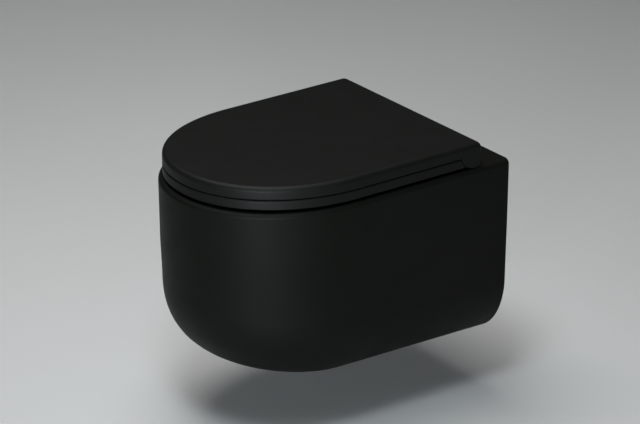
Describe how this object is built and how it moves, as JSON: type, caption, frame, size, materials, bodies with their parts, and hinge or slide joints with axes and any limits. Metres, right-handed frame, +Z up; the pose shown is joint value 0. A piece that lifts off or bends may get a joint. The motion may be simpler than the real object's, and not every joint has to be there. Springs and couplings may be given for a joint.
{
  "type": "wall-hung toilet",
  "caption": "Wall-hung toilet pan with a rimless bowl and swept trap, soft-close seat and lid on quick-release hinges.",
  "frame": {"origin": "on the wall plane, halfway between the two wall-fixing holes", "axes": "+Z up, +Y into the wall (the nose points to -Y), +X to the right of someone who stands in front of the pan"},
  "size_m": [0.3596, 0.4999, 0.3452],
  "materials": {
    "china_black": "satin",
    "thermoset_black": "satin",
    "nylon_grey": "matt",
    "rubber_black": "matt",
    "chrome": "polished",
    "steel": "brushed",
    "brass": "plain"
  },
  "bodies": {
    "pan": {"pan": "china_black", "flush_deflector": "nylon_grey", "wall_bushes": "nylon_grey", "wall_washers": "steel", "wall_nuts": "steel", "hinge_base_left": "chrome", "hinge_base_right": "chrome", "base_gaskets": "rubber_black", "seat_bolts": "steel", "expansion_plugs": "rubber_black", "plug_nuts": "brass", "hinge_post_left": "chrome", "hinge_post_right": "chrome", "hinge_pin_left": "steel", "hinge_pin_right": "steel", "button_spring_left": "steel", "button_spring_right": "steel"},
    "seat": {"seat_ring": "thermoset_black", "seat_buffers": "rubber_black", "seat_damper": "nylon_grey", "seat_bush": "nylon_grey"},
    "lid": {"lid": "thermoset_black", "lid_buffers": "rubber_black", "lid_damper": "nylon_grey", "lid_bush": "nylon_grey"},
    "release_button_left": {"release_button_left": "nylon_grey"},
    "release_button_right": {"release_button_right": "nylon_grey"}
  },
  "joints": [
    {"name": "seat_hinge", "type": "hinge", "parent": "pan", "child": "seat", "pos_m": [0, -0.067, 0.107], "axis": [-1, 0, 0], "range_deg": [0, 92]},
    {"name": "lid_hinge", "type": "hinge", "parent": "seat", "child": "lid", "pos_m": [0, -0.067, 0.107], "axis": [-1, 0, 0], "range_deg": [0, 97]},
    {"name": "release_button_left", "type": "slide", "parent": "pan", "child": "release_button_left", "axis": [0, 1, 0], "range_m": [0, 0.0025], "stiffness_N_per_m": 300, "springref_m": -0.002, "deforming": ["button_spring_left"]},
    {"name": "release_button_right", "type": "slide", "parent": "pan", "child": "release_button_right", "axis": [0, 1, 0], "range_m": [0, 0.0025], "stiffness_N_per_m": 300, "springref_m": -0.002, "deforming": ["button_spring_right"]}
  ]
}
